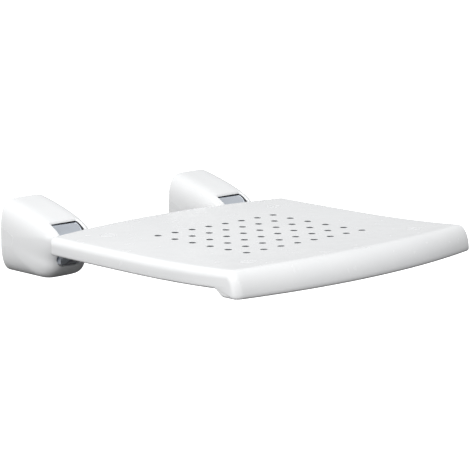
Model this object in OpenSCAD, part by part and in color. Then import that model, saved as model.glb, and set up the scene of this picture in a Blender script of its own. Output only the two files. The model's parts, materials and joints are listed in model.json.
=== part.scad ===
// Wall-mounted folding shower seat.
// Frame: +X right, +Y into the wall, +Z up. The wall is the plane Y = 0, and the origin is
// midway between the two brackets, at the middle of their screw patterns.
// The seat is drawn folded down. It turns about the X axis through the hinge pins.

/* [Seat] */
// Width of the seat
seat_w = 400; // [380:5:420]
// Height of the sitting surface
seat_z = 21; // [20.5:0.5:23]
// Distance from the wall to the middle of the drain holes
seat_mid = 272; // [272:1:280]
// Distance from the drain holes' middle to the front edge
seat_front = 186; // [184:1:190]
// Distance from the drain holes' middle to the back edge
seat_back = 178.5; // [174:0.5:178.5]
// Thickness of the moulded walls of the seat
seat_wall = 5; // [4.5:0.5:6]
// Diameter of a drain hole
drain_d = 8; // [6:0.5:9]

/* [Brackets] */
// Distance between the middles of the two brackets
bracket_gap = 281; // [280:1:282]
// Distance from the wall to the hinge axis
hinge_out = 66.5; // [66.25:0.25:66.75]
// Height of the hinge axis
hinge_z = 2; // [1.75:0.25:2.25]
// Diameter of a wall screw hole
wall_hole_d = 8.5; // [6:0.5:8.5]
// Distance across between the wall screw holes of a bracket
wall_hole_dx = 22; // [20:1:22]
// Distance up between the wall screw holes of a bracket
wall_hole_dz = 52; // [48:1:52]

/* [Covers] */
// Half width of a cover
cover_hw = 40; // [39.5:0.5:42]
// Height of a cover's top
cover_top = 50; // [50:0.5:54]
// Depth of a cover's bottom
cover_bottom = 41.5; // [41.5:0.5:44]
// Distance from the wall to a cover's front
cover_out = 97; // [96:0.5:100]
// Wall thickness of a cover
cover_wall = 3; // [2.5:0.25:3]

/* [Hinge] */
// Radius of the arm's round knuckle
knuckle_r = 23.3; // [22.9:0.1:23.3]
// Width of the arm's knuckle
knuckle_w = 39.2; // [38:0.2:39.2]
// Diameter of the hinge pin
pin_d = 12; // [10:0.5:12]

/* [Hidden] */
$fn = 64;
LEFT = -1;
RIGHT = 1;
bracket_x = bracket_gap / 2;
far = 200;

// Seat: s is the distance back from the front edge
bow_front_r = 850;
bow_back_r = 850;
roll_depth = 27;
crest = 5.2;
crest_power = 2.2;
rear_rise = 0.9;
skirt_deep = 21.5;
lip_z = seat_z - 25.3;
lip_step = 35;
lip_flat = 21;
roll_height = seat_z + crest - lip_z;
side_r = 10;
corner_r = 12;
seat_y = -seat_mid;
front_y = seat_y - seat_front;
back_y = seat_y + seat_back;
bow_front_y = front_y + bow_front_r;
bow_back_y = back_y - bow_back_r;
drain_nx = 8;
drain_ny = 6;
drain_dx = 28;
drain_dy = 30;
rib_t = 2.5;
rib_z = 6;
rib_xs = [0, 56, 112, 168];
rib_ys = [-105, -60, 0, 60, 105];

// Seat screws, through the seat into the arms
screw_ys = [117, -120];
screw_r = 4;
screw_len = 18;
head_r = 6.5;
head_t = 2.8;
washer_r = 8.2;
washer_t = 1.2;
counterbore_r = 9;
counterbore_deep = 5.2;
cap_t = 1;
boss_r = 12;

// Arm: u is the distance in front of the hinge axis, and bar heights are above it
arm_top = 14;
arm_bottom = 2;
bar_top = arm_top - hinge_z;
bar_bottom = arm_bottom - hinge_z;
arm_w = 32;
arm_tip = 347;
insert_r = 5;
insert_len = 10;

// Hinge: the stop plate is a fixed key in a step of the knuckle, so it ends both travels
stop_top = -2;
stop_bottom = -8;
stop_gap = 0.05;
hub_r = 13;
bush_r = 8;
bush_len = 15;
flange_r = 11;
flange_t = 0.9;
cheek_in = 20.6;
cheek_t = 6;
cheek_r = 14.5;
cheek_out = cheek_in + cheek_t;
running = 0.04;
snug = 0.02;
seal_t = 1.5;
plate_t = 5;
plate_hw = 30;
plate_up = 40;
plate_down = 34;
plate_y = seal_t + plate_t;
ring_r = 9;
ring_t = 1;

// Cover: sections across X are the middle profile shrunk towards a point on the wall
slot_hw = 20.9;
slot_back = 72.8;
slot_bottom = -25;
cover_mid_z = 4;
round_n = 5;
round_m = 3;
front_z = 10.7;
chin_out = 85.5;
chin_r = 21;
cover_steps = [0, 0.3, 0.5, 0.65, 0.77, 0.86, 0.92, 0.96, 0.985, 1];
cap_scale = 0.25;
tab_w = 9;
tab_out = 30;
tab_t = 4;
cover_screw_out = 22;
cover_screw_r = 2;
cover_boss_r = 4.5;

plastic = [0.93, 0.93, 0.93];
chrome = [0.78, 0.8, 0.84];
steel = [0.62, 0.63, 0.65];
black = [0.12, 0.12, 0.13];
nylon = [0.85, 0.84, 0.78];

// ---- helpers ----

// Extrudes a side view, drawn as [distance from the wall or axis, height], across X
module across(width) {
    rotate([90, 0, -90]) linear_extrude(width, center = true) children();
}

// A round bar along X
module bar_x(r, len) {
    rotate([0, 90, 0]) cylinder(r = r, h = len, center = true);
}

module at_hinge(side) {
    translate([side * bracket_x, -hinge_out, hinge_z]) children();
}

module at_bracket(side) {
    translate([side * bracket_x, 0, 0]) children();
}

function bezier(a, b, c, d, t) =
    pow(1 - t, 3) * a + 3 * pow(1 - t, 2) * t * b + 3 * (1 - t) * t * t * c + pow(t, 3) * d;

// Height of the sitting surface at a distance s behind the front edge
function top_z(s) = s < seat_front
    ? seat_z + crest * pow((seat_front - s) / (seat_front - roll_depth), crest_power)
    : seat_z + rear_rise * pow((s - seat_front) / seat_back, 2);

// ---- seat shell ----

// Top line of the seat in side view, moved in by t, from the front edge to behind the seat
function seat_line(t) = concat(
    [for (a = [0:9:90])
        [t + (roll_depth - t) * (1 - cos(a)),
         lip_z + (roll_height - t) * sin(a)]],
    [for (s = [44, 62, 82, 104, 130, 176, 260, 400]) [s, top_z(s) - t]]
);

// Turns a side view about the middle of the bowed front edge
module bowed(points) {
    translate([0, bow_front_y, 0])
        rotate([0, 0, -115])
            rotate_extrude(angle = 50, $fn = 180)
                polygon([for (p = points) [bow_front_r - p[0], p[1]]]);
}

// Seat outline seen from above, moved in by t; corner arcs touch the sides and the bowed ends
function corner_y(mid, r, t, up) =
    mid + up * sqrt(pow(r - t - corner_r, 2) - pow(seat_w / 2 - t - corner_r, 2));

module outline(t) {
    cx = seat_w / 2 - t - corner_r;
    fy = corner_y(bow_front_y, bow_front_r + 0.5, t, -1);
    by = corner_y(bow_back_y, bow_back_r, t, 1);
    intersection() {
        translate([0, bow_front_y]) circle(r = bow_front_r + 0.5 - t, $fn = 360);
        translate([0, bow_back_y]) circle(r = bow_back_r - t, $fn = 360);
        union() {
            translate([-cx - corner_r, fy]) square([2 * (cx + corner_r), by - fy]);
            translate([-cx, front_y - far]) square([2 * cx, 2 * far + seat_front + seat_back]);
            for (x = [-cx, cx], y = [fy, by]) translate([x, y]) circle(r = corner_r);
        }
    }
}

// Front view of the seat, with rounded top edges
module front_view() {
    z = seat_z + crest + 1 - side_r;
    union() {
        translate([-seat_w / 2, -far]) square([seat_w, far + z]);
        translate([side_r - seat_w / 2, -far]) square([seat_w - 2 * side_r, far + z + side_r]);
        for (x = [side_r - seat_w / 2, seat_w / 2 - side_r]) translate([x, z]) circle(r = side_r);
    }
}

module seat_solid() {
    intersection() {
        bowed(concat(
            seat_line(0),
            [for (s = [400, 176, 104, 62, lip_step]) [s, top_z(s) - skirt_deep]],
            [[lip_step - 4, top_z(lip_step) - skirt_deep - 1.5], [lip_flat + 3, lip_z + 1.5],
             [lip_flat, lip_z]]
        ));
        translate([0, 0, -far]) linear_extrude(2 * far) outline(0);
        translate([0, far, 0]) rotate([90, 0, 0]) linear_extrude(4 * far) front_view();
    }
}

// Ribs below the top skin, clear of the drain holes and of the two arms
module seat_ribs() {
    inner_x = rib_xs[2];
    outer_x = rib_xs[3];
    for (x = rib_xs, side = [LEFT, RIGHT])
        translate([side * x - rib_t / 2, front_y, rib_z])
            cube([rib_t, seat_front + seat_back, far]);
    for (y = rib_ys) {
        translate([-inner_x, seat_y + y - rib_t / 2, rib_z]) cube([2 * inner_x, rib_t, far]);
        for (side = [LEFT, RIGHT])
            translate([side * (outer_x + seat_w / 2) / 2, seat_y + y, rib_z + far / 2])
                cube([seat_w / 2 - outer_x, rib_t, far], center = true);
    }
    for (side = [LEFT, RIGHT], y = screw_ys)
        translate([side * bracket_x, seat_y + y, arm_top]) cylinder(r = boss_r, h = far);
}

module seat_cavity() {
    difference() {
        intersection() {
            bowed(concat(seat_line(seat_wall), [[400, -far], [seat_wall, -far]]));
            translate([0, 0, -far]) linear_extrude(2 * far) outline(seat_wall - 1);
        }
        seat_ribs();
    }
}

module seat_drains() {
    for (i = [0:drain_nx - 1], j = [0:drain_ny - 1])
        translate([(i - (drain_nx - 1) / 2) * drain_dx,
                   seat_y + (j - (drain_ny - 1) / 2) * drain_dy, 0])
            cylinder(d = drain_d, h = far);
}

function screw_top(y) = top_z(seat_front + y);

module seat_screw_holes() {
    for (side = [LEFT, RIGHT], y = screw_ys)
        translate([side * bracket_x, seat_y + y, screw_top(y) - counterbore_deep]) {
            cylinder(r = counterbore_r, h = far);
            translate([0, 0, -far]) cylinder(r = screw_r + 0.5, h = far + 1);
        }
}

// Openings in the back skirt where the arms come in
module arm_notches() {
    for (side = [LEFT, RIGHT])
        translate([side * bracket_x - knuckle_w / 2 - 1, back_y - 40, -far])
            cube([knuckle_w + 2, 60, far + arm_top + 0.6]);
}

module seat_shell() {
    color(plastic) difference() {
        seat_solid();
        seat_cavity();
        seat_drains();
        seat_screw_holes();
        arm_notches();
    }
}

// ---- seat fixings ----

// Runs its children at the four seat screws; z = 0 is the floor of the counterbore
module at_seat_screws() {
    for (side = [LEFT, RIGHT], y = screw_ys)
        translate([side * bracket_x, seat_y + y, screw_top(y) - counterbore_deep]) children();
}

module seat_washers() {
    color(steel) at_seat_screws() difference() {
        cylinder(r = washer_r, h = washer_t);
        translate([0, 0, -1]) cylinder(r = screw_r + 0.3, h = washer_t + 2);
    }
}

module seat_screws() {
    color(steel) at_seat_screws() difference() {
        union() {
            translate([0, 0, washer_t]) cylinder(r = head_r, h = head_t);
            translate([0, 0, washer_t - screw_len]) cylinder(r = screw_r - 0.1, h = screw_len + 1);
        }
        translate([0, 0, washer_t + head_t - 2]) cylinder(d = 5.8, h = 3, $fn = 6);
    }
}

module screw_caps() {
    skirt = 0.9;
    top = counterbore_deep;
    color(plastic) at_seat_screws() difference() {
        translate([0, 0, washer_t + 0.2]) cylinder(r = counterbore_r - 0.15, h = top - washer_t - 0.2);
        translate([0, 0, -1]) cylinder(r = counterbore_r - 0.15 - skirt, h = top - cap_t + 1);
    }
}

module thread_inserts() {
    color(steel)
        for (side = [LEFT, RIGHT], y = screw_ys)
            translate([side * bracket_x, seat_y + y, arm_top - insert_len]) difference() {
                cylinder(r = insert_r - snug, h = insert_len - 0.1);
                translate([0, 0, -1]) cylinder(r = screw_r, h = insert_len + 2);
            }
}

// ---- arms ----

// The knuckle has a step behind the axis, whose two faces meet the stop plate
module knuckle() {
    difference() {
        bar_x(knuckle_r, knuckle_w);
        translate([-far / 2, -stop_top - stop_gap, stop_bottom - stop_gap]) cube(far);
    }
    bar_x(hub_r, knuckle_w);
}

module arm_neck() {
    across(knuckle_w) polygon([
        [0, -knuckle_r], [26, -knuckle_r], [32, -22], [46, -12], [58, bar_bottom],
        [66, bar_bottom], [66, bar_top], [46, bar_top], [40, 8], [33.5, -2], [26, -8.5], [0, -8.5]
    ]);
}

// Flat bar under the seat, with a long pocket below to save weight
module arm_bar() {
    pocket_from = 110;
    pocket_to = 298;
    difference() {
        translate([-arm_w / 2, -arm_tip, bar_bottom]) cube([arm_w, arm_tip - 60, bar_top - bar_bottom]);
        translate([4 - arm_w / 2, -pocket_to, bar_bottom - 1])
            cube([arm_w - 8, pocket_to - pocket_from, 8]);
    }
}

module arm(side) {
    color(chrome) difference() {
        at_hinge(side) difference() {
            union() {
                knuckle();
                arm_neck();
                arm_bar();
            }
            bar_x(bush_r, far);
        }
        for (y = screw_ys)
            translate([side * bracket_x, seat_y + y, arm_bottom - 1]) cylinder(r = insert_r, h = 20);
    }
}

module bushes(side) {
    color(nylon) at_hinge(side)
        for (end = [LEFT, RIGHT]) difference() {
            union() {
                translate([end * (knuckle_w - bush_len) / 2, 0, 0])
                    bar_x(bush_r - snug, bush_len + 0.2);
                translate([end * (knuckle_w / 2 + flange_t / 2 + snug), 0, 0])
                    bar_x(flange_r, flange_t);
            }
            bar_x(pin_d / 2 + running, far);
        }
}

// ---- brackets ----

module wall_holes(deep) {
    for (x = [-0.5, 0.5] * wall_hole_dx, z = [-0.5, 0.5] * wall_hole_dz)
        translate([x, 1, z]) rotate([90, 0, 0]) cylinder(d = wall_hole_d, h = deep);
}

// Plate outline with its corners cut off
module plate_shape(inset) {
    cut = 9;
    w = plate_hw - inset;
    up = plate_up - inset;
    down = plate_down - inset;
    polygon([
        [-w + cut, -down], [w - cut, -down], [w, cut - down], [w, up - cut],
        [w - cut, up], [-w + cut, up], [-w, up - cut], [-w, cut - down]
    ]);
}

module wall_seal(side) {
    color(black) at_bracket(side) difference() {
        rotate([90, 0, 0]) linear_extrude(seal_t) plate_shape(1);
        wall_holes(20);
    }
}

// Cheek seen from the side: a tapered web that ends in a round boss at the hinge
module cheek_shape() {
    difference() {
        union() {
            polygon([
                [plate_y - 1, 2 - plate_down], [plate_y - 1, plate_up - 4],
                [hinge_out + 4, hinge_z + 13.9], [hinge_out + 3.5, hinge_z - 14]
            ]);
            translate([hinge_out, hinge_z]) circle(r = cheek_r);
        }
        translate([hinge_out, hinge_z]) circle(r = pin_d / 2 + snug);
    }
}

module bracket(side) {
    color(steel) at_bracket(side) difference() {
        union() {
            translate([0, -seal_t, 0]) rotate([90, 0, 0]) linear_extrude(plate_t) plate_shape(0);
            for (end = [LEFT, RIGHT])
                translate([end * (cheek_in + cheek_t / 2), 0, 0]) across(cheek_t) cheek_shape();
            translate([-tab_w / 2, -tab_out, -plate_down]) cube([tab_w, tab_out - seal_t - 1, tab_t]);
        }
        wall_holes(20);
        translate([0, -cover_screw_out, -far / 2]) cylinder(r = cover_screw_r, h = far / 2);
    }
}

// Key plate welded between the cheeks
module stop_plate(side) {
    reach = hinge_out - hub_r - 1;
    color(steel) at_bracket(side)
        translate([-cheek_in, -reach, hinge_z + stop_bottom])
            cube([2 * cheek_in, reach - plate_y, stop_top - stop_bottom]);
}

module hinge_pin(side) {
    half = cheek_out + 3;
    color(steel) at_hinge(side) difference() {
        bar_x(pin_d / 2, 2 * half);
        for (end = [LEFT, RIGHT]) translate([end * (cheek_out + 0.1 + ring_t / 2), 0, 0]) difference() {
            bar_x(pin_d, ring_t + 0.1);
            bar_x(pin_d / 2 - 0.7, far);
        }
    }
}

module pin_rings(side) {
    color(steel) at_hinge(side)
        for (end = [LEFT, RIGHT]) translate([end * (cheek_out + 0.1 + ring_t / 2), 0, 0]) difference() {
            bar_x(ring_r, ring_t);
            bar_x(pin_d / 2 - 0.6, far);
        }
}

// ---- covers ----

// Middle profile of a cover, as [distance from the wall, height], from top to bottom
function cover_profile() = concat(
    [for (t = [0:0.1:1])
        bezier([0, cover_top], [38, cover_top - 8], [cover_out, front_z + 15],
               [cover_out, front_z], t)],
    [for (t = [0.2:0.2:1])
        bezier([cover_out, front_z], [cover_out, front_z - 16],
               [chin_out + 2, chin_r - cover_bottom + 10], [chin_out, chin_r - cover_bottom], t)],
    [for (a = [15:15:90])
        [chin_out - chin_r * (1 - cos(a)), chin_r - cover_bottom - chin_r * sin(a)]],
    [[30, -cover_bottom], [0, -cover_bottom]]
);

// Shrinks a profile point by t towards the middle point on the wall
function shrink(p, t) = [0, cover_mid_z] + (p - [0, cover_mid_z]) * (1 - t / norm(p - [0, cover_mid_z]));

function section_scale(f) = max(cap_scale, pow(1 - pow(f, round_n), 1 / round_m));

// Solid bounded by the sections; t moves its surface in, and back is how far it passes the wall
module cover_body(t, back) {
    steps = concat([for (i = [len(cover_steps) - 1:-1:1]) -cover_steps[i]], cover_steps);
    profile = [for (p = cover_profile()) shrink(p, t)];
    n = len(profile);
    points = [for (f = steps, p = profile) let (
            k = section_scale(abs(f)),
            w = k * p[0],
            z = cover_mid_z + k * (p[1] - cover_mid_z)
        ) [f * (cover_hw - t), w < 0.01 ? back : -w, z]];
    rings = len(steps);
    faces = concat(
        [[for (j = [0:n - 1]) j]],
        [for (i = [0:rings - 2], j = [0:n - 1])
            [i * n + j, (i + 1) * n + j, (i + 1) * n + (j + 1) % n, i * n + (j + 1) % n]],
        [[for (j = [n - 1:-1:0]) (rings - 1) * n + j]]
    );
    polyhedron(points, faces);
}

// Hollow cover with a slot for the arm, and a boss for the screw from below
module cover_shell() {
    difference() {
        union() {
            difference() {
                cover_body(0, 0);
                cover_body(cover_wall, 1);
            }
            translate([0, -cover_screw_out, -cover_bottom + 1])
                cylinder(r = cover_boss_r, h = cover_bottom - plate_down - 1.05);
        }
        translate([-slot_hw, -far, slot_bottom]) cube([2 * slot_hw, far - slot_back, far]);
        translate([0, -hinge_out, hinge_z]) bar_x(knuckle_r + 0.8, 2 * slot_hw);
        translate([0, -cover_screw_out, -far / 2]) cylinder(r = cover_screw_r + 0.2, h = far / 2);
        translate([0, -cover_screw_out, -cover_bottom - 1]) cylinder(r = 4.2, h = 3);
    }
}

// The resize keeps the shell at its stated width
module cover(side) {
    color(plastic) at_bracket(side) resize([2 * cover_hw, 0, 0]) cover_shell();
}

module cover_screws() {
    shank = cover_bottom - plate_down + tab_t - 1;
    color(steel)
        for (side = [LEFT, RIGHT])
            translate([side * bracket_x, -cover_screw_out, -cover_bottom]) difference() {
                union() {
                    translate([0, 0, 0.2]) cylinder(r = 3.8, h = 1.8);
                    translate([0, 0, 1]) cylinder(r = cover_screw_r - 0.1, h = shank);
                }
                translate([0, 0, -1]) cylinder(d = 2.6, h = 2.2, $fn = 6);
            }
}

wall_seal(LEFT);  // left_wall_seal
wall_seal(RIGHT);  // right_wall_seal
bracket(LEFT);  // left_bracket
bracket(RIGHT);  // right_bracket
stop_plate(LEFT);  // left_stop_plate
stop_plate(RIGHT);  // right_stop_plate
hinge_pin(LEFT);  // left_hinge_pin
hinge_pin(RIGHT);  // right_hinge_pin
pin_rings(LEFT);  // left_pin_rings
pin_rings(RIGHT);  // right_pin_rings
cover(LEFT);  // left_cover
cover(RIGHT);  // right_cover
cover_screws();
arm(LEFT);  // left_arm
arm(RIGHT);  // right_arm
bushes(LEFT);  // left_bushes
bushes(RIGHT);  // right_bushes
thread_inserts();
seat_shell();
seat_washers();
seat_screws();
screw_caps();
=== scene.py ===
"""Wall-mounted folding shower seat: its looks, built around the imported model.

Frame: +X right, +Y into the wall, +Z up. The wall is the plane Y = 0, and the origin is midway
between the two brackets, at the middle of their screws. Shapes are worked out in millimetres and
stored in metres.
"""

import json
import math

import bmesh
import bpy
from mathutils import Matrix, Vector


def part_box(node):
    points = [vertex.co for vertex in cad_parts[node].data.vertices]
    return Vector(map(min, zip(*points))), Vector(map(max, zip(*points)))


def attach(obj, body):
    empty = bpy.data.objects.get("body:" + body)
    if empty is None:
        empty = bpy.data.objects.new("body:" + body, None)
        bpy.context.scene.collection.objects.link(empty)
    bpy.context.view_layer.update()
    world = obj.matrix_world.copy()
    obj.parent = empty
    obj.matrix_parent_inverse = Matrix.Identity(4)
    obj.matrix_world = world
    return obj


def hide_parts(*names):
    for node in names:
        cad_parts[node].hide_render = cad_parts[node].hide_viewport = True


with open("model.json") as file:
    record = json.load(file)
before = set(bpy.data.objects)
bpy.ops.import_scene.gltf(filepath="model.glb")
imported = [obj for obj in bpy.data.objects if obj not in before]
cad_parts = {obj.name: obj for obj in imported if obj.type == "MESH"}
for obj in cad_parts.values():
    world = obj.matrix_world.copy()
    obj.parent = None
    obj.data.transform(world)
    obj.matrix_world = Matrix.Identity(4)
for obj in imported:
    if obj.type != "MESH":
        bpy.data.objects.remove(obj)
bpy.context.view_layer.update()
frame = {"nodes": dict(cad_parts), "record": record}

MM = 0.001
LEFT, RIGHT = -1, 1


def box_mm(node):
    """Lowest and highest corner of a CAD node, in millimetres."""
    low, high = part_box(node)
    return low / MM, high / MM


# ---- driving dimensions, in millimetres ----

SEAT_LOW, SEAT_HIGH = box_mm("seat_shell")
HALF = SEAT_HIGH.x
FRONT = SEAT_LOW.y
BACK = SEAT_HIGH.y
GRID_Y = BACK - 178.5
SEAT_Z = 21
BOW_FRONT = 850
BOW_BACK = 850
BOW_ROLL = 1500
ROLL_START = 159
CREST = 5.2
CREST_POWER = 2.2
REAR_RISE = 0.9
SIDE_R = 9.5
REAR_CORNER = 0.5
REAR_R = 5
EDGE_R = 3
SKIRT_DEEP = 21.5
LIP_Z = SEAT_Z - 25.3
LIP_STEP = 35
LIP_FLAT = 21
WALL = 5
DRAIN_R = 4
DRAIN_NX, DRAIN_NY = 8, 6
DRAIN_DX, DRAIN_DY = 28, 30
DRAIN_RIM = 0.8
CELL = 8
SCREW_X = (box_mm("right_arm")[0].x + box_mm("right_arm")[1].x) / 2
SCREW_YS = (117, -120)
COUNTERBORE_R = 9
COUNTERBORE_DEEP = 5.2
COUNTERBORE_RIM = 0.4
SCREW_HOLE_R = 4.5
BOSS_R = 12
RIB_T = 2.5
RIB_Z = 6
RIB_XS = (0, 56, 112, 168)
RIB_YS = (-105, -60, 0, 60, 105)

HINGE_OUT = 66.5
HINGE_Z = 2
KNUCKLE_R = 23.3
KNUCKLE_W = 39.2
HUB_R = 13
ARM_TOP = 14
ARM_BOTTOM = 2
ARM_W = 32
ARM_TIP = 347
ARM_BORE_R = 8
POCKET_FROM, POCKET_TO = 110, 298
INSERT_R = 5
STEP_U = -1.95
STEP_Z = -8.05

COVER_LOW, COVER_HIGH = box_mm("right_cover")
COVER_HW = (COVER_HIGH.x - COVER_LOW.x) / 2
COVER_TOP = COVER_HIGH.z
COVER_BOTTOM = -COVER_LOW.z
COVER_OUT = -COVER_LOW.y
COVER_WALL = 3
COVER_MID_Z = 4
SLOT_HW = 20.9
SLOT_BACK = 72.8
SLOT_BOTTOM = -25
SLOT_CORNER = 3
SLOT_LOW_CORNER = 12
SLOT_ROLL = 2.6
RIM_DEEP = 3
FRONT_Z = 10.7
CHIN_OUT = 85.5
CHIN_R = 21


# ---- mesh tools ----


class Shape:
    """Points and faces of a mesh while it is built, in millimetres."""

    def __init__(self):
        self.points = []
        self.faces = []

    def ring(self, points):
        start = len(self.points)
        self.points.extend(points)
        return list(range(start, len(self.points)))

    def bridge(self, a, b, closed=True):
        """Quads between two rows of equally many points."""
        count = len(a) if closed else len(a) - 1
        for i in range(count):
            j = (i + 1) % len(a)
            self.faces.append((a[i], a[j], b[j], b[i]))

    def object(self, name):
        mesh = bpy.data.meshes.new(name)
        mesh.from_pydata([tuple(MM * c for c in p) for p in self.points], [], self.faces)
        obj = bpy.data.objects.new(name, mesh)
        bpy.context.scene.collection.objects.link(obj)
        tidy(obj)
        return obj


def tidy(obj):
    """Merges points that coincide and turns every face outwards."""
    bm = bmesh.new()
    bm.from_mesh(obj.data)
    bmesh.ops.remove_doubles(bm, verts=bm.verts, dist=2e-6)
    bmesh.ops.recalc_face_normals(bm, faces=bm.faces)
    bm.to_mesh(obj.data)
    bm.free()


def bake(obj):
    """Applies the modifiers of obj to its mesh."""
    shown = obj.evaluated_get(bpy.context.evaluated_depsgraph_get())
    mesh = bpy.data.meshes.new_from_object(shown)
    obj.modifiers.clear()
    obj.data = mesh


def combine(obj, other, operation):
    """Joins other to obj, or cuts it out of obj, and removes other."""
    modifier = obj.modifiers.new("combine", "BOOLEAN")
    modifier.operation = operation
    modifier.solver = "EXACT"
    modifier.object = other
    bake(obj)
    bpy.data.objects.remove(other)


def bevel(obj, width, angle=40, segments=3):
    modifier = obj.modifiers.new("bevel", "BEVEL")
    modifier.width = width * MM
    modifier.segments = segments
    modifier.limit_method = "ANGLE"
    modifier.angle_limit = math.radians(angle)
    bake(obj)


def smooth(obj, angle=35):
    """Smooth shading, with edges sharper than angle left sharp."""
    for face in obj.data.polygons:
        face.use_smooth = True
    obj.data.set_sharp_from_angle(angle=math.radians(angle))


def prism(name, outline, low, high):
    """A closed outline of (y, z) points, extruded along X from low to high."""
    shape = Shape()
    a = shape.ring([(low, y, z) for y, z in outline])
    b = shape.ring([(high, y, z) for y, z in outline])
    shape.bridge(a, b)
    shape.faces += [tuple(a), tuple(reversed(b))]
    return shape.object(name)


def lathe(shape, profile, place, steps=48):
    """Adds a closed body turned about Z at place, from (radius, height) points on the profile."""
    rings = []
    for r, z in profile:
        turn = [2 * math.pi * k / steps for k in range(steps)]
        rings.append(shape.ring([place @ Vector((r * math.cos(t), r * math.sin(t), z)) for t in turn]))
    for a, b in zip(rings, rings[1:]):
        shape.bridge(a, b)
    shape.faces += [tuple(rings[0]), tuple(reversed(rings[-1]))]


def rod(name, r, start, end, steps=48):
    """A round bar from start to end."""
    axis = Vector(end) - Vector(start)
    place = Matrix.Translation(start) @ axis.to_track_quat("Z", "Y").to_matrix().to_4x4()
    shape = Shape()
    lathe(shape, [(r, 0), (r, axis.length)], place, steps)
    return shape.object(name)


def arc(centre, r, start, end, steps):
    """Points on a circle of the (y, z) plane, from angle start to end, in degrees."""
    turn = [math.radians(start + (end - start) * k / steps) for k in range(steps + 1)]
    return [(centre[0] + r * math.cos(t), centre[1] + r * math.sin(t)) for t in turn]


def finish_piece(obj, body, slot, materials, *nodes):
    """Gives obj its materials and its place in the model; slot, the record's finish, is not used."""
    marks = [face.material_index for face in obj.data.polygons]
    obj.data.materials.clear()
    for material in materials:
        obj.data.materials.append(material)
    obj.data.polygons.foreach_set("material_index", marks)
    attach(obj, body)
    if nodes:
        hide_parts(*nodes)
    return obj


# ---- seat moulding ----


def y_behind(x, s):
    """Where, at x, the distance behind the bowed front edge is s."""
    return FRONT + BOW_FRONT - math.sqrt((BOW_FRONT - s) ** 2 - x * x)


def roll_y(x):
    """Where the front roll meets the sitting surface."""
    return GRID_Y - ROLL_START + BOW_ROLL - math.sqrt(BOW_ROLL**2 - x * x)


def top_z(x, y):
    """Height of the sitting surface, which rises towards the front and a little at the back."""
    ahead = (roll_y(x) + ROLL_START - y) / ROLL_START
    if ahead > 0:
        return SEAT_Z + CREST * ahead**CREST_POWER
    return SEAT_Z + REAR_RISE * ahead**2


def rear_y(x):
    """The back edge at x."""
    return BACK - BOW_BACK + math.sqrt(BOW_BACK**2 - x * x)


def side_inset(x, r, half):
    """How far the rounded side edge lies below the skin at x."""
    past = abs(x) - (half - r)
    return 0 if past <= 0 else r - math.sqrt(max(r * r - past * past, 0))


def roll_points(x, inset):
    """The front roll at x, from its foot to the sitting surface: a quarter of an ellipse."""
    start, height = y_behind(x, 0), top_z(x, roll_y(x)) - LIP_Z
    depth = roll_y(x) - start
    slope = CREST * CREST_POWER / ROLL_START
    foot = math.asin(EDGE_R / height)
    points = []
    for k in range(ROLL_STEPS + 1):
        a = foot + (math.pi / 2 - foot) * k / ROLL_STEPS
        back = depth * (1 - math.cos(a))
        lean = slope * (depth - back) * (back / depth) ** 2
        out, up = height * math.cos(a), depth * math.sin(a)
        size = math.hypot(out, up)
        y = start + back + inset * out / size
        points.append((y, LIP_Z + height * math.sin(a) + lean - inset * up / size))
    return points


def between(a, b, count):
    """The points that divide a to b into count steps, without a."""
    return [a + (b - a) * k / count for k in range(1, count + 1)]


# Where the rows lie beyond the drain holes, as shares of the way to the edge. The CELL steps in
# the middle of each list hold a screw's counterbore.
ROLL_STEPS = 16
FRONT_SPLIT = [0.08, 0.16, 0.25] + between(0.25, 0.75, CELL) + [0.83, 0.92]
REAR_SPLIT = between(0, 0.167, 3) + between(0.167, 0.585, CELL) + between(0.585, 1, 6)[:-1]
ROWS_BEFORE_SCREW = 3


def top_rows(x, edge):
    """The y of each row across the sitting surface at x, from the front roll to the rear edge."""
    front, back = GRID_Y - DRAIN_DY * DRAIN_NY / 2, GRID_Y + DRAIN_DY * DRAIN_NY / 2
    roll = roll_y(x)
    rows = [front + (roll - front) * t for t in reversed(FRONT_SPLIT)]
    count = CELL * DRAIN_NY
    rows += [front + (back - front) * k / count for k in range(count + 1)]
    return rows + [back + (edge - back) * t for t in REAR_SPLIT]


def top_path(x, wall, side, foot=None):
    """Side view of the skin at x, from the front lip's foot to the rear's.

    It lies wall inside the outer skin, and side is what the rounded side edge takes off.
    """
    inset = wall + side
    path = roll_points(x, inset)
    r = max(REAR_R, inset + 0.4)
    centre = (rear_y(x) - r + side * REAR_CORNER, top_z(x, rear_y(x)) - r)
    path += [(y, top_z(x, y) - inset) for y in top_rows(x, centre[0])]
    path += arc(centre, r - inset, 90, 0, 6)
    y, z = path[-1]
    rear_foot = lower_edge(x, y) + EDGE_R if foot is None else foot
    path += [(y, z + (rear_foot - z) * t) for t in (0.3, 0.65, 1)]
    return path if foot is None else [(path[0][0], foot)] + path


def lower_edge(x, y):
    """Height of the seat's lower edge, which steps down to the front lip."""
    s = BOW_FRONT - math.hypot(x, y - FRONT - BOW_FRONT)
    if s >= LIP_STEP:
        return top_z(x, y) - SKIRT_DEEP
    t = max((s - LIP_FLAT) / (LIP_STEP - LIP_FLAT), 0)
    step = top_z(x, y_behind(x, LIP_STEP)) - SKIRT_DEEP
    return LIP_Z + (step - LIP_Z) * t * t * (3 - 2 * t)


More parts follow.
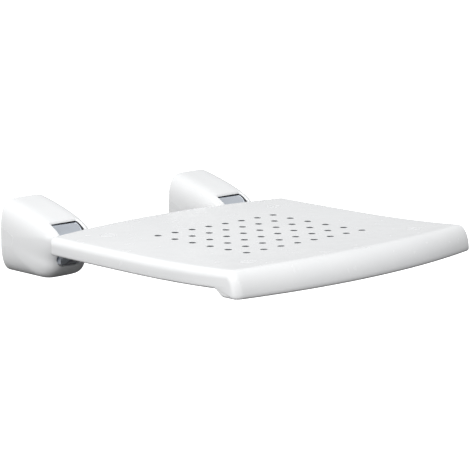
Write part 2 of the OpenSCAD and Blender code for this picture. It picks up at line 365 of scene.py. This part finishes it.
def bottom_path(x, start_y, back_y):
    """The underside at x, from the rear to the front, with the edges rounded."""
    lift = min(side_inset(x, EDGE_R, HALF), EDGE_R - 0.2)
    r = EDGE_R - lift
    path = arc((back_y - r, lower_edge(x, back_y) + EDGE_R), r, 0, -90, 3)[1:]
    stops = [330, 240, 190, 150, 120, 90, 70, 50]
    stops += [LIP_STEP - (LIP_STEP - LIP_FLAT) * k / 12 for k in range(13)]
    for s in stops:
        y = y_behind(x, s)
        if y < back_y - r - 1:
            path.append((y, lower_edge(x, y) + lift))
        else:
            path.append((back_y - r - 0.5, lower_edge(x, back_y) + lift))
    return path + arc((start_y + r, LIP_Z + EDGE_R), r, -90, -180, 3)[:-1]


def seat_columns():
    """The x of each column of the seat's mesh."""
    cells = DRAIN_NX + 3
    inner = cells * DRAIN_DX / 2
    flat = [k * DRAIN_DX / CELL - inner for k in range(cells * CELL + 1)]
    side = between(inner, HALF - SIDE_R, 6)
    edge = [HALF - SIDE_R + SIDE_R * math.sin(math.pi / 2 * k / 9) for k in range(1, 10)]
    right = side + edge
    return [-x for x in reversed(right)] + flat + right


def hole_rings(centre, boundary, r, rim):
    """Rings of (x, y, depth) that lead from a cell's boundary to a rounded rim of radius r."""
    count = len(boundary)
    turn = [math.radians(-135 + 360 * k / count) for k in range(count)]
    circle = [(centre[0] + (r + rim) * math.cos(t), centre[1] + (r + rim) * math.sin(t)) for t in turn]
    rings = []
    for share in (0.3, 0.6, 0.85, 1):
        rings.append(
            [
                (b[0] + (c[0] - b[0]) * share, b[1] + (c[1] - b[1]) * share, 0)
                for b, c in zip(boundary, circle)
            ]
        )
    for k in (1, 2, 3):
        a = math.pi / 2 * k / 3
        radius, deep = r + rim * (1 - math.sin(a)), rim * (1 - math.cos(a))
        rings.append(
            [
                (centre[0] + radius * math.cos(t), centre[1] + radius * math.sin(t), deep)
                for t in turn
            ]
        )
    return rings


def turned(centre, r, z, count):
    """A level ring of count points, in step with the points of hole_rings."""
    turn = [math.radians(-135 + 360 * k / count) for k in range(count)]
    return [(centre[0] + r * math.cos(t), centre[1] + r * math.sin(t), z) for t in turn]


def cell_loop(index, column, row):
    """The grid points round a square cell, from its lower left corner."""
    loop = [index[column + k][row] for k in range(CELL)]
    loop += [index[column + CELL][row + k] for k in range(CELL)]
    loop += [index[column + CELL - k][row + CELL] for k in range(CELL)]
    return loop + [index[column][row + CELL - k] for k in range(CELL)]


def add_hole(shape, loop, centre, r, rim, floor_z, stages):
    """Sinks a rounded hole into a cell; stages are the (radius, z) of its lower rings."""
    boundary = [shape.points[i] for i in loop]
    last = loop
    for ring in hole_rings(centre, boundary, r, rim):
        new = shape.ring([(x, y, top_z(x, y) - deep) for x, y, deep in ring])
        shape.bridge(last, new)
        last = new
    for radius, z in [(r, floor_z)] + stages:
        new = shape.ring(turned(centre, radius, z, len(loop)))
        shape.bridge(last, new)
        last = new
    shape.faces.append(tuple(last))


def seat_block():
    """The seat as a solid, with its holes sunk below the skin."""
    shape = Shape()
    columns = seat_columns()
    index = []
    for x in columns:
        top = top_path(x, 0, side_inset(x, SIDE_R, HALF))
        bottom = bottom_path(x, top[0][0], top[-1][0])
        index.append(shape.ring([(x, y, z) for y, z in top + bottom]))
    length = len(index[0])
    first_row = ROLL_STEPS + 1 + len(FRONT_SPLIT)
    cells = {}
    left = columns.index(-DRAIN_DX * DRAIN_NX / 2)
    for i in range(DRAIN_NX):
        for j in range(DRAIN_NY):
            x = (i - (DRAIN_NX - 1) / 2) * DRAIN_DX
            y = GRID_Y + (j - (DRAIN_NY - 1) / 2) * DRAIN_DY
            cells[(left + CELL * i, first_row + CELL * j)] = ("drain", (x, y))
    last_row = first_row + CELL * DRAIN_NY
    rows = (last_row + ROWS_BEFORE_SCREW, first_row - ROWS_BEFORE_SCREW - CELL)
    for side in (LEFT, RIGHT):
        column = columns.index(side * 5 * DRAIN_DX - DRAIN_DX / 2)
        for row, y in zip(rows, SCREW_YS):
            cells[(column, row)] = ("screw", (side * SCREW_X, GRID_Y + y))
    holes = {(c + i, r + j) for c, r in cells for i in range(CELL) for j in range(CELL)}
    for c in range(len(columns) - 1):
        a, b = index[c], index[c + 1]
        for r in range(length):
            if (c, r) not in holes:
                shape.faces.append((a[r], a[(r + 1) % length], b[(r + 1) % length], b[r]))
    shape.faces += [tuple(index[0]), tuple(reversed(index[-1]))]
    for (c, r), (kind, centre) in cells.items():
        loop = cell_loop(index, c, r)
        if kind == "drain":
            add_hole(shape, loop, centre, DRAIN_R, DRAIN_RIM, ARM_TOP - 3, [])
        else:
            floor = top_z(*centre) - COUNTERBORE_DEEP
            stages = [(SCREW_HOLE_R, floor), (SCREW_HOLE_R, ARM_TOP - 4)]
            add_hole(shape, loop, centre, COUNTERBORE_R, COUNTERBORE_RIM, floor, stages)
    return shape.object("seat_moulding")


def seat_hollow():
    """The hollow below the skin, before the ribs are taken out of it."""
    shape = Shape()
    half, r = HALF - WALL, SIDE_R - WALL
    edge = [half - r + r * math.sin(math.pi / 2 * k / 4) for k in range(5)]
    flat = [(half - r) * k / 12 for k in range(12)]
    right = flat[1:] + edge
    columns = [-x for x in reversed(right)] + [0] + right
    rings = []
    for x in columns:
        path = top_path(x, WALL, side_inset(x, r, half), -40)
        rings.append(shape.ring([(x, y, z) for y, z in path]))
    for a, b in zip(rings, rings[1:]):
        shape.bridge(a, b)
    shape.faces += [tuple(rings[0]), tuple(reversed(rings[-1]))]
    return shape.object("hollow")


def taper_bar(shape, low, high, along, thick):
    """A rib that is thicker at its root, which is its top; along is 0 for X and 1 for Y."""
    across = 1 - along
    root = thick / 2 + 0.4
    rings = []
    for end in (low[along], high[along]):
        ring = []
        for side, width in ((LEFT, thick / 2), (RIGHT, thick / 2), (RIGHT, root), (LEFT, root)):
            point = [0, 0, RIB_Z if width < root else SEAT_Z + 30]
            point[along] = end
            point[across] = low[across] + side * width
            ring.append(tuple(point))
        rings.append(shape.ring(ring))
    shape.bridge(*rings)
    shape.faces += [tuple(rings[0]), tuple(reversed(rings[1]))]


def rib_sets():
    """The ribs as three sets of bodies that don't cross within a set."""
    lengthways = Shape()
    for x in sorted({side * x for x in RIB_XS for side in (LEFT, RIGHT)}):
        taper_bar(lengthways, (x, FRONT, 0), (x, BACK, 0), 1, RIB_T)
    crossways = Shape()
    inner, outer = RIB_XS[2], RIB_XS[3]
    for y in RIB_YS:
        for start, end in ((-HALF, -outer), (-inner, inner), (outer, HALF)):
            taper_bar(crossways, (start, GRID_Y + y, 0), (end, GRID_Y + y, 0), 0, RIB_T)
    bosses = Shape()
    for side in (LEFT, RIGHT):
        for y in SCREW_YS:
            place = Matrix.Translation((side * SCREW_X, GRID_Y + y, ARM_TOP))
            lathe(bosses, [(BOSS_R, 0), (BOSS_R, 30)], place)
    return [lengthways.object("ribs_y"), crossways.object("ribs_x"), bosses.object("bosses")]


def notch_cutter(side):
    """The opening in the rear skirt where an arm comes in, with rounded upper corners."""
    half, top, r = KNUCKLE_W / 2 + 1, ARM_TOP + 0.6, 3
    outline = [(-half, -40)] + arc((-half + r, top - r), r, 180, 90, 5)
    outline += arc((half - r, top - r), r, 90, 0, 5) + [(half, -40)]
    shape = Shape()
    a = shape.ring([(side * SCREW_X + x, BACK - 40, z) for x, z in outline])
    b = shape.ring([(side * SCREW_X + x, BACK + 20, z) for x, z in outline])
    shape.bridge(a, b)
    shape.faces += [tuple(a), tuple(reversed(b))]
    return shape.object("notch")


def paint_hole_shade(seat):
    """Paints shade on the walls of the drain holes, below their rims: gives them the second material, a
    dark painted shade on the same plastic.
    """
    for face in seat.data.polygons:
        x, y, z = face.center / MM
        column = round(x / DRAIN_DX + (DRAIN_NX - 1) / 2) - (DRAIN_NX - 1) / 2
        row = round((y - GRID_Y) / DRAIN_DY + (DRAIN_NY - 1) / 2) - (DRAIN_NY - 1) / 2
        inside = abs(column) < DRAIN_NX / 2 and abs(row) < DRAIN_NY / 2
        away = math.hypot(x - column * DRAIN_DX, y - GRID_Y - row * DRAIN_DY)
        if inside and away < DRAIN_R + 0.3 and z < top_z(x, y) - 0.15:
            face.material_index = 1


def seat_moulding():
    """The seat: its skin and holes, hollowed out below, with its ribs and openings."""
    seat = seat_block()
    hollow = seat_hollow()
    for ribs in rib_sets():
        combine(hollow, ribs, "DIFFERENCE")
    combine(seat, hollow, "DIFFERENCE")
    for side in (LEFT, RIGHT):
        combine(seat, notch_cutter(side), "DIFFERENCE")
    smooth(seat)
    # painted shade: the drain hole walls get a dark material that stands in for the shade inside the holes
    paint_hole_shade(seat)
    return seat


def screw_caps():
    """Push-in caps that lie flush in the counterbores, tilted with the sitting surface."""
    r, drop = COUNTERBORE_R - 0.15, 3.4
    profile = [(r - 0.3, -drop), (r, -drop + 0.3), (r, -0.5)]
    profile += [(r - 0.5 * (1 - math.cos(a)), -0.5 + 0.5 * math.sin(a)) for a in (0.5, 1, 1.57)]
    profile += [(r * 0.7, 0.03), (r * 0.35, 0.05), (0.4, 0.06)]
    shape = Shape()
    for side in (LEFT, RIGHT):
        for y in SCREW_YS:
            x, y = side * SCREW_X, GRID_Y + y
            tilt = math.atan2(top_z(x, y + 5) - top_z(x, y - 5), 10)
            place = Matrix.Translation((x, y, top_z(x, y) - 0.05)) @ Matrix.Rotation(tilt, 4, "X")
            lathe(shape, profile, place)
    caps = shape.object("screw_cap_set")
    smooth(caps)
    return caps


# ---- arms ----


def arm_outline():
    """Side view of the knuckle and neck as (distance in front of the hinge, height)."""
    r = KNUCKLE_R
    low, high = ARM_BOTTOM - HINGE_Z, ARM_TOP - HINGE_Z
    step = math.degrees(math.asin(STEP_Z / HUB_R))
    outer = math.degrees(math.asin(STEP_Z / r))
    points = arc((0, 0), r, 180 - outer, 270, 12)
    points += [(26, -r), (32, -22), (46, -12), (56, low + 0.5), (60, low), (70, low), (70, high)]
    points += [(47, high), (43, 10.6), (40, 7.6), (33.5, -2), (30.5, -6), (26, -8.3)]
    top = math.degrees(math.acos(STEP_U / r))
    points += arc((0, 0), r, -21, top, 30)
    hub = math.degrees(math.acos(STEP_U / HUB_R))
    return points + arc((0, 0), HUB_R, hub, 180 - step, 14)


def to_row(points):
    """Side-view points in the row frame's Y and Z."""
    return [(-HINGE_OUT - u, HINGE_Z + z) for u, z in points]


def rounded_box(u0, u1, z0, z1, r, steps=4):
    """Outline of a box with rounded corners."""
    points = arc((u0 + r, z0 + r), r, 180, 270, steps) + arc((u1 - r, z0 + r), r, 270, 360, steps)
    return points + arc((u1 - r, z1 - r), r, 0, 90, steps) + arc((u0 + r, z1 - r), r, 90, 180, steps)


def arm(side):
    """An arm: the knuckle and neck, the flat bar, its pocket, and its holes."""
    x = side * SCREW_X
    name = "left_arm_bar" if side == LEFT else "right_arm_bar"
    body = prism(name, to_row(arm_outline()), x - KNUCKLE_W / 2, x + KNUCKLE_W / 2)
    bevel(body, 1.2, 50)
    low, high = ARM_BOTTOM - HINGE_Z, ARM_TOP - HINGE_Z
    bar = to_row(rounded_box(58, ARM_TIP, low + 0.02, high - 0.02, 1))
    bar = prism("bar", bar, x - ARM_W / 2, x + ARM_W / 2)
    bevel(bar, 0.8, 60)
    combine(body, bar, "UNION")
    pocket = to_row(rounded_box(POCKET_FROM, POCKET_TO, low - 8, low + 7, 2))
    combine(body, prism("pocket", pocket, x - ARM_W / 2 + 4, x + ARM_W / 2 - 4), "DIFFERENCE")
    hinge = Vector((x, -HINGE_OUT, HINGE_Z))
    across = Vector((KNUCKLE_W, 0, 0))
    combine(body, rod("bore", ARM_BORE_R, hinge - across, hinge + across, 64), "DIFFERENCE")
    for y in SCREW_YS:
        hole = rod("hole", INSERT_R, (x, GRID_Y + y, -10), (x, GRID_Y + y, 30))
        combine(body, hole, "DIFFERENCE")
    smooth(body)
    return body


# ---- covers ----


def bezier(a, b, c, d, t):
    """The point at t on a cubic curve from a to d."""
    u = 1 - t
    return tuple(
        u**3 * p + 3 * u * u * t * q + 3 * u * t * t * r + t**3 * s for p, q, r, s in zip(a, b, c, d)
    )


def cover_profile():
    """Middle profile of a cover, as (distance from the wall, height), from top to bottom."""
    points = [
        bezier((0, COVER_TOP), (38, COVER_TOP - 8), (COVER_OUT, FRONT_Z + 15), (COVER_OUT, FRONT_Z),
               k / 40)
        for k in range(41)
    ]
    points += [
        bezier((COVER_OUT, FRONT_Z), (COVER_OUT, FRONT_Z - 16),
               (CHIN_OUT + 2, CHIN_R - COVER_BOTTOM + 10), (CHIN_OUT, CHIN_R - COVER_BOTTOM), k / 16)
        for k in range(1, 17)
    ]
    points += arc((CHIN_OUT - CHIN_R, CHIN_R - COVER_BOTTOM), CHIN_R, 0, -90, 14)[1:]
    return points + [(CHIN_OUT - CHIN_R - t, -COVER_BOTTOM) for t in between(0, CHIN_OUT - CHIN_R, 8)]


class Line:
    """A polyline that can be read at any distance along it."""

    def __init__(self, points):
        self.points = points
        self.stops = [0]
        for a, b in zip(points, points[1:]):
            self.stops.append(self.stops[-1] + math.dist(a, b))
        self.length = self.stops[-1]

    def at(self, v):
        v = min(max(v, 0), self.length)
        i = max(k for k in range(len(self.stops) - 1) if self.stops[k] <= v)
        t = (v - self.stops[i]) / (self.stops[i + 1] - self.stops[i])
        return tuple(p + (q - p) * t for p, q in zip(self.points[i], self.points[i + 1]))

    def where(self, test):
        """The first distance at which test is true of the point there."""
        steps = 4000
        return next(self.length * k / steps for k in range(steps) if test(self.at(self.length * k / steps)))


PROFILE = Line(cover_profile())
SLOT_START = PROFILE.where(lambda p: p[0] >= SLOT_BACK)
SLOT_END = PROFILE.where(lambda p: p[1] <= SLOT_BOTTOM)
ROUND_N, ROUND_M = 5, 3
CAP_SCALE = 0.25


def cover_point(side, x, v, inset):
    """A point of the cover's skin, moved in by inset towards the middle point on the wall."""
    w, z = PROFILE.at(v)
    size = math.hypot(w, z - COVER_MID_Z)
    k = max(CAP_SCALE, (1 - min(abs(x) / COVER_HW, 1) ** ROUND_N) ** (1 / ROUND_M))
    k *= 1 - inset / size
    squeeze = 1 - inset / COVER_HW
    return (side * SCREW_X + x * squeeze, -k * w, COVER_MID_Z + k * (z - COVER_MID_Z))


def slot_curve(grow):
    """Rounded outline of the slot in (x, v), grown outwards, with as many points as the panel's edge."""
    a, v0, v1 = SLOT_HW + grow, SLOT_START - grow, SLOT_END + grow
    r, low_r = SLOT_CORNER + grow, SLOT_LOW_CORNER + grow
    corners = [
        ((-a + r, v0 + r), 180, r),
        ((a - r, v0 + r), 270, r),
        ((a - low_r, v1 - low_r), 0, low_r),
        ((-a + low_r, v1 - low_r), 90, low_r),
    ]
    points = []
    for n, count in enumerate((PANEL_COLUMNS, PANEL_ROWS, PANEL_COLUMNS, PANEL_ROWS)):
        centre, angle, size = corners[n]
        after, next_angle, next_size = corners[(n + 1) % 4]
        side = arc(centre, size, angle + 45, angle + 90, 6)
        side += arc(after, next_size, next_angle, next_angle + 45, 6)
        line = Line(side)
        points += [line.at(line.length * k / count) for k in range(count)]
    return points


# The panel is the part of a cover's grid that is rebuilt round the slot
PANEL_HW = 29
SIDE_COLUMNS, PANEL_COLUMNS = 18, 24
UPPER_ROWS, PANEL_ROWS, LOWER_ROWS = 24, 28, 22


def cover_columns():
    """The x of each column of a cover: even in the middle, closer together at the sides."""
    half = PANEL_COLUMNS // 2
    flat = [k * PANEL_HW / half - PANEL_HW for k in range(PANEL_COLUMNS + 1)]
    span = COVER_HW - PANEL_HW
    turns = range(1, SIDE_COLUMNS + 1)
    side = [PANEL_HW + span * (1 - (1 - k / SIDE_COLUMNS) ** 2.2) for k in turns]
    return [-x for x in reversed(side)] + flat + side


def cover_rows():
    """The v of each row of a cover, with even rows across the slot's panel."""
    start, end = SLOT_START - 9, SLOT_END + 8
    rows = [start * k / UPPER_ROWS for k in range(UPPER_ROWS)]
    rows += [start + (end - start) * k / PANEL_ROWS for k in range(PANEL_ROWS + 1)]
    return rows + between(end, PROFILE.length, LOWER_ROWS)


def cover_sheet(shape, side, inset):
    """One skin of the cover without its panel; returns the panel's loop, also flat, and the edges."""
    columns, rows = cover_columns(), cover_rows()
    index = [shape.ring([cover_point(side, x, v, inset) for v in rows]) for x in columns]
    c0, r0 = SIDE_COLUMNS, UPPER_ROWS
    c1, r1 = c0 + PANEL_COLUMNS, r0 + PANEL_ROWS
    for c in range(len(columns) - 1):
        for r in range(len(rows) - 1):
            if not (c0 <= c < c1 and r0 <= r < r1):
                a, b = index[c], index[c + 1]
                shape.faces.append((a[r], a[r + 1], b[r + 1], b[r]))
    places = [(c, r0) for c in range(c0, c1)] + [(c1, r) for r in range(r0, r1)]
    places += [(c, r1) for c in range(c1, c0, -1)] + [(c0, r) for r in range(r1, r0, -1)]
    loop = [index[c][r] for c, r in places]
    flat = [(columns[c], rows[r]) for c, r in places]
    top = [ring[0] for ring in index]
    bottom = [ring[-1] for ring in index]
    return loop, flat, index[0], index[-1], top, bottom


def fill_panel(shape, side, inset, loop, flat):
    """Rings of quads from the panel's edge to the outer edge of the slot's rolled rim."""
    target = slot_curve(SLOT_ROLL)
    for share in (0.35, 0.7, 1):
        pairs = zip(flat, target)
        mix = [(a[0] + (b[0] - a[0]) * share, a[1] + (b[1] - a[1]) * share) for a, b in pairs]
        new = shape.ring([cover_point(side, x, v, inset) for x, v in mix])
        shape.bridge(loop, new)
        loop = new
    return loop


def rim_point(side, x, v, deep):
    """A point of the slot's cut face, which drops from the skin at the top and runs back below."""
    share = min(max((v - SLOT_START) / (SLOT_END - SLOT_START), 0), 1)
    turn = math.pi / 2 * share
    px, py, pz = cover_point(side, x, v, 0)
    return (px, py + deep * math.sin(turn), pz - deep * math.cos(turn))


def cover_rim(shape, side, outer, inner):
    """The rim of the slot, rolled in from the outer skin and closed to the inner one."""
    last = outer
    steps = 8
    stages = []
    for k in range(1, steps + 1):
        a = math.pi / 2 * k / steps
        stages.append((SLOT_ROLL * (1 - math.sin(a)), SLOT_ROLL * (1 - math.cos(a))))
    stages += [(0, RIM_DEEP - 0.2), (0.2, RIM_DEEP), (0.8, RIM_DEEP)]
    for grow, deep in stages:
        new = shape.ring([rim_point(side, x, v, deep) for x, v in slot_curve(grow)])
        shape.bridge(last, new)
        last = new
    shape.bridge(last, inner)


def cover(side):
    """A cover: an outer and an inner skin, joined at the slot's rim and along the wall."""
    name = "left_cover_moulding" if side == LEFT else "right_cover_moulding"
    shape = Shape()
    skins = []
    for inset in (0, COVER_WALL):
        loop, flat, first, last, top, bottom = cover_sheet(shape, side, inset)
        skins.append((fill_panel(shape, side, inset, loop, flat), first, last, top, bottom))
        shape.faces += [tuple(first), tuple(last)]
    (outer, first_a, last_a, top_a, bottom_a), (inner, first_b, last_b, top_b, bottom_b) = skins
    cover_rim(shape, side, outer, inner)
    shape.bridge(top_a, top_b, closed=False)
    shape.bridge(bottom_a, bottom_b, closed=False)
    for a, b in ((first_a, first_b), (last_a, last_b)):
        shape.faces.append((a[0], b[0], b[-1], a[-1]))
    shell = shape.object(name)
    smooth(shell)
    return shell


# ---- materials ----

GRAIN_HEIGHT = 0.04 * MM


def ramp(nodes, low, high):
    """A colour ramp from low to high across the middle of a noise."""
    node = nodes.new("ShaderNodeValToRGB")
    node.color_ramp.elements[0].position = 0.35
    node.color_ramp.elements[1].position = 0.65
    node.color_ramp.elements[0].color = (*low, 1)
    node.color_ramp.elements[1].color = (*high, 1)
    return node


def noise(nodes, links, mapping, scale, detail):
    """The output of a noise that lies still on the object."""
    node = nodes.new("ShaderNodeTexNoise")
    node.inputs["Scale"].default_value = scale
    node.inputs["Detail"].default_value = detail
    links.new(mapping.outputs["Vector"], node.inputs["Vector"])
    return node.outputs["Fac"]


def surface(name, low, high, rough, metal=0.0, grain=900, colour_scale=14, bump=0.05,
            stretch=(1, 1, 1), coat=0.0, rough_scale=60):
    """A material whose colour and roughness drift slightly, with a fine bump."""
    material = bpy.data.materials.new(name)
    material.use_nodes = True
    nodes, links = material.node_tree.nodes, material.node_tree.links
    shader = nodes["Principled BSDF"]
    shader.inputs["Metallic"].default_value = metal
    shader.inputs["Coat Weight"].default_value = coat
    shader.inputs["Coat Roughness"].default_value = 0.06
    place = nodes.new("ShaderNodeTexCoord")
    mapping = nodes.new("ShaderNodeMapping")
    mapping.inputs["Scale"].default_value = stretch
    links.new(place.outputs["Object"], mapping.inputs["Vector"])

    colours = ramp(nodes, low, high)
    links.new(noise(nodes, links, mapping, colour_scale, 4), colours.inputs["Fac"])
    links.new(colours.outputs["Color"], shader.inputs["Base Color"])

    spread = nodes.new("ShaderNodeMapRange")
    spread.inputs["From Min"].default_value = 0.3
    spread.inputs["From Max"].default_value = 0.7
    spread.inputs["To Min"].default_value = rough[0]
    spread.inputs["To Max"].default_value = rough[1]
    links.new(noise(nodes, links, mapping, rough_scale, 6), spread.inputs["Value"])
    links.new(spread.outputs["Result"], shader.inputs["Roughness"])

    relief = nodes.new("ShaderNodeBump")
    relief.inputs["Strength"].default_value = bump
    relief.inputs["Distance"].default_value = GRAIN_HEIGHT
    links.new(noise(nodes, links, mapping, grain, 3), relief.inputs["Height"])
    links.new(relief.outputs["Normal"], shader.inputs["Normal"])
    return material


def build_materials():
    return {
        "seat_plastic": surface("seat_plastic", (0.825, 0.83, 0.835), (0.85, 0.853, 0.855), (0.22, 0.28),
                                grain=1400, bump=0.05, coat=0.2),
        # painted shade: a dark plastic for the walls of the drain holes, standing in for the shade inside
        # them
        "hole_painted_shade": surface("hole_painted_shade", (0.09, 0.095, 0.105), (0.13, 0.135, 0.145), (0.5, 0.6),
                             grain=1400, bump=0.2),
        "cover_plastic": surface("cover_plastic", (0.825, 0.83, 0.835), (0.845, 0.848, 0.85), (0.16, 0.22),
                                 grain=1100, bump=0.1, coat=0.3),
        "cap_plastic": surface("cap_plastic", (0.81, 0.815, 0.82), (0.835, 0.84, 0.845), (0.24, 0.32),
                               grain=1700, bump=0.3),
        "arm_chrome": surface("arm_chrome", (0.66, 0.7, 0.76), (0.72, 0.76, 0.82), (0.05, 0.11), metal=1,
                              grain=500, bump=0.08, rough_scale=90),
        "bracket_steel": surface("bracket_steel", (0.5, 0.51, 0.52), (0.62, 0.63, 0.64), (0.28, 0.42),
                                 metal=1, grain=700, bump=0.5, stretch=(1, 1, 14), colour_scale=30),
        "fastener_steel": surface("fastener_steel", (0.55, 0.55, 0.56), (0.66, 0.66, 0.67), (0.22, 0.34),
                                  metal=1, grain=1500, bump=0.4, colour_scale=120),
        "bush_nylon": surface("bush_nylon", (0.7, 0.68, 0.6), (0.78, 0.76, 0.69), (0.4, 0.5),
                              grain=900, bump=0.4, colour_scale=60),
        "seal_rubber": surface("seal_rubber", (0.02, 0.02, 0.021), (0.04, 0.04, 0.042), (0.62, 0.78),
                               grain=1300, bump=0.8, colour_scale=80),
    }


def dress_cad_nodes(materials):
    """Gives every CAD node that stays visible the material of its slot."""
    slots = {part["node"]: part["material_slot"] for part in frame["record"]["subparts"]}
    for node, obj in frame["nodes"].items():
        for slot in obj.material_slots:
            slot.material = materials[slots[node]]


# ---- studio, in metres ----

# Brightness of the sky from straight below, 0, to straight above, 1
SKY = [(0, 0.02), (0.38, 0.1), (0.5, 0.46), (0.6, 0.7), (0.85, 0.7), (1, 0.62)]
FLOOR_DROP = 0.48
LIGHT_TARGET = Vector((0, -0.25, 0))


def set_world():
    """White behind the object; around it, a sky that is bright above and grey below."""
    world = bpy.data.worlds.new("studio")
    bpy.context.scene.world = world
    world.use_nodes = True
    nodes, links = world.node_tree.nodes, world.node_tree.links
    nodes.clear()
    place = nodes.new("ShaderNodeTexCoord")
    split = nodes.new("ShaderNodeSeparateXYZ")
    links.new(place.outputs["Generated"], split.inputs["Vector"])
    height = nodes.new("ShaderNodeMapRange")
    height.inputs["From Min"].default_value = -1
    height.inputs["From Max"].default_value = 1
    links.new(split.outputs["Z"], height.inputs["Value"])
    sky = nodes.new("ShaderNodeValToRGB")
    while len(sky.color_ramp.elements) < len(SKY):
        sky.color_ramp.elements.new(0.5)
    for element, (position, value) in zip(sky.color_ramp.elements, SKY):
        element.position = position
        element.color = (value * 0.98, value * 0.99, value, 1)
    links.new(height.outputs["Result"], sky.inputs["Fac"])
    around = nodes.new("ShaderNodeBackground")
    links.new(sky.outputs["Color"], around.inputs["Color"])
    behind = nodes.new("ShaderNodeBackground")
    behind.inputs["Color"].default_value = (1, 1, 1, 1)
    rays = nodes.new("ShaderNodeLightPath")
    mix = nodes.new("ShaderNodeMixShader")
    links.new(rays.outputs["Is Camera Ray"], mix.inputs["Fac"])
    links.new(around.outputs["Background"], mix.inputs[1])
    links.new(behind.outputs["Background"], mix.inputs[2])
    out = nodes.new("ShaderNodeOutputWorld")
    links.new(mix.outputs["Shader"], out.inputs["Surface"])


def add_light(name, place, size, power):
    """A square area light of power watts that faces the middle of the object."""
    data = bpy.data.lights.new(name, "AREA")
    data.shape = "RECTANGLE"
    data.size, data.size_y = size, size
    data.energy = power
    light = bpy.data.objects.new(name, data)
    light.location = place
    light.rotation_euler = (LIGHT_TARGET - Vector(place)).to_track_quat("-Z", "Y").to_euler()
    bpy.context.scene.collection.objects.link(light)


def add_floor():
    """A plain pale floor at the usual fitting height below a shower seat."""
    half, z = 40, -FLOOR_DROP
    mesh = bpy.data.meshes.new("floor")
    corners = [(-half, -half, z), (half, -half, z), (half, half, z), (-half, half, z)]
    mesh.from_pydata(corners, [], [(0, 1, 2, 3)])
    floor = bpy.data.objects.new("floor", mesh)
    bpy.context.scene.collection.objects.link(floor)
    material = bpy.data.materials.new("floor_paint")
    material.use_nodes = True
    shader = material.node_tree.nodes["Principled BSDF"]
    shader.inputs["Base Color"].default_value = (0.9, 0.9, 0.9, 1)
    shader.inputs["Roughness"].default_value = 0.9
    shader.inputs["Emission Color"].default_value = (1, 1, 1, 1)
    shader.inputs["Emission Strength"].default_value = 0.9
    mesh.materials.append(material)
    floor.visible_diffuse = False
    floor.visible_glossy = False


def add_camera():
    """A long lens, looking down a little from the front left."""
    azimuth, elevation = math.radians(-44.493), math.radians(10.891)
    distance, across, up = 2.443708, 0.030635, 0.002063
    back = Vector(
        (
            math.sin(azimuth) * math.cos(elevation),
            -math.cos(azimuth) * math.cos(elevation),
            math.sin(elevation),
        )
    )
    right = (-back).cross(Vector((0, 0, 1))).normalized()
    top = right.cross(-back)
    middle = Vector((0, GRID_Y * MM, SEAT_Z * MM))
    data = bpy.data.cameras.new("camera")
    data.sensor_width = 36
    data.lens = 156.12
    data.clip_end = 200
    camera = bpy.data.objects.new("camera", data)
    camera.location = middle + back * distance - right * across - top * up
    camera.rotation_euler = Matrix((right, top, back)).transposed().to_euler()
    bpy.context.scene.collection.objects.link(camera)
    bpy.context.scene.camera = camera


def main():
    materials = build_materials()
    dress_cad_nodes(materials)
    # the seat's second material is the painted shade of the drain hole walls
    seat_looks = [materials["seat_plastic"], materials["hole_painted_shade"]]
    finish_piece(seat_moulding(), "seat_unit", "seat_plastic", seat_looks, "seat_shell")
    finish_piece(screw_caps(), "seat_unit", "cap_plastic", [materials["cap_plastic"]], "screw_caps")
    for side, name in ((LEFT, "left"), (RIGHT, "right")):
        finish_piece(arm(side), "seat_unit", "arm_chrome", [materials["arm_chrome"]], f"{name}_arm")
        looks = [materials["cover_plastic"]]
        finish_piece(cover(side), "wall_unit", "cover_plastic", looks, f"{name}_cover")
    set_world()
    add_light("key", (-1.7, -1.1, 2.1), 1.8, 49)
    add_light("left_fill", (-3, -0.4, 0.5), 2, 18)
    add_floor()
    add_camera()
    bpy.context.scene.view_settings.view_transform = "Standard"


main()
